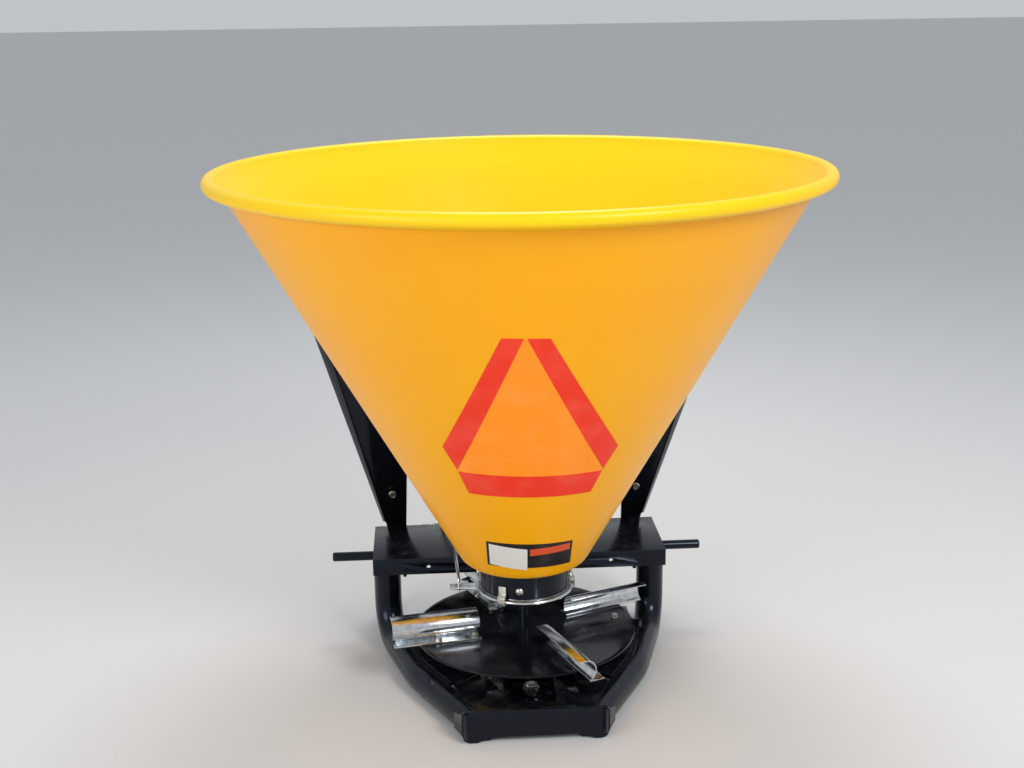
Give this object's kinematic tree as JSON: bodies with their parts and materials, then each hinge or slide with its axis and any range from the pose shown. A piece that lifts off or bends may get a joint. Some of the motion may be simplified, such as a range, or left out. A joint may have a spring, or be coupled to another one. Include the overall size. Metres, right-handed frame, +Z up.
{
  "type": "three-point hitch cone spreader",
  "caption": "Tractor-mounted broadcast spreader: cone hopper over a finned spinner disc driven by a bevel gearbox, on a bent tube frame with a lever-worked outlet shutter.",
  "frame": {"origin": "on the ground below the spinner shaft's centre line, which is also the bottom centre of the bounding box", "axes": "+Z up, +Y towards the tractor, +X to the machine's right as seen from its rear"},
  "size_m": [1.2996, 1.2996, 1.157],
  "materials": {
    "hopper_poly": "orange-yellow moulded polyethylene, half gloss",
    "black_paint": "gloss black powder coat",
    "galvanised_steel": "bright hot-dip galvanised sheet",
    "zinc_plate": "bright zinc plate",
    "machined_steel": "turned steel",
    "cast_iron": "painted casting",
    "shield_plastic": "black moulded polyethylene"
  },
  "bodies": {
    "frame": {"hopper_shell": "hopper_poly", "discharge_funnel": "black_paint", "orifice_plate": "galvanised_steel", "shutter_clip_1": "zinc_plate", "shutter_clip_2": "zinc_plate", "shutter_clip_3": "zinc_plate", "funnel_bolt_1": "zinc_plate", "funnel_bolt_2": "zinc_plate", "funnel_bolt_3": "zinc_plate", "funnel_bolt_4": "zinc_plate", "gearbox_housing": "cast_iron", "gearbox_cover": "cast_iron", "upper_bearing": "machined_steel", "lower_bush": "machined_steel", "rear_input_bearing": "machined_steel", "front_input_bearing": "machined_steel", "bearing_cap": "cast_iron", "pto_shield": "shield_plastic", "gearbox_saddle": "black_paint", "saddle_bolt": "zinc_plate", "loop_tube_right": "black_paint", "loop_tube_left": "black_paint", "rear_foot": "black_paint", "belly_plate": "black_paint", "rear_pan": "black_paint", "cross_channel": "black_paint", "post_right": "black_paint", "post_left": "black_paint", "mast_right": "black_paint", "mast_left": "black_paint", "hitch_pin_right": "black_paint", "hitch_pin_left": "black_paint", "top_link_pin": "zinc_plate", "linchpin": "zinc_plate", "funnel_bracket": "black_paint", "lever_quadrant": "galvanised_steel", "lever_pivot_bolt": "zinc_plate"},
    "spinner": {"spinner_shaft": "machined_steel", "agitator": "machined_steel", "spinner_disc": "black_paint", "disc_hub": "cast_iron", "fin_1": "galvanised_steel", "fin_2": "galvanised_steel", "fin_3": "galvanised_steel", "fin_4": "galvanised_steel", "fin_bolt_1_1": "zinc_plate", "fin_bolt_1_2": "zinc_plate", "fin_bolt_2_1": "zinc_plate", "fin_bolt_2_2": "zinc_plate", "fin_bolt_3_1": "zinc_plate", "fin_bolt_3_2": "zinc_plate", "fin_bolt_4_1": "zinc_plate", "fin_bolt_4_2": "zinc_plate", "crown_gear": "machined_steel"},
    "input": {"input_shaft": "machined_steel", "bevel_pinion": "machined_steel"},
    "lever": {"control_lever": "black_paint", "lever_grip": "shield_plastic"},
    "link": {"link_rod": "galvanised_steel"},
    "shutter": {"shutter_ring": "galvanised_steel"}
  },
  "joints": [
    {"name": "spinner_turn", "type": "hinge", "parent": "frame", "child": "spinner", "pos_m": [0, 0, 0.112], "axis": [0, 0, 1], "continuous": true},
    {"name": "input_turn", "type": "hinge", "parent": "frame", "child": "input", "pos_m": [0, 0.2, 0.052], "axis": [0, 1, 0], "continuous": true},
    {"name": "lever_swing", "type": "hinge", "parent": "frame", "child": "lever", "pos_m": [-0.179, 0.385, 0.215], "axis": [1, 0, 0], "range_deg": [-20, 20]},
    {"name": "link_travel", "type": "slide", "parent": "frame", "child": "link", "axis": [0, 1, 0], "range_m": [-0.035, 0.035]},
    {"name": "shutter_turn", "type": "hinge", "parent": "frame", "child": "shutter", "pos_m": [0, 0, 0.217], "axis": [0, 0, 1], "range_deg": [-13.5, 13.5]}
  ],
  "couplings": [
    {"joint": "input_turn", "follows": "spinner_turn", "ratio": -1},
    {"joint": "link_travel", "follows": "lever_swing", "m_per_rad": -0.0975},
    {"joint": "shutter_turn", "follows": "lever_swing", "ratio": 0.65}
  ]
}
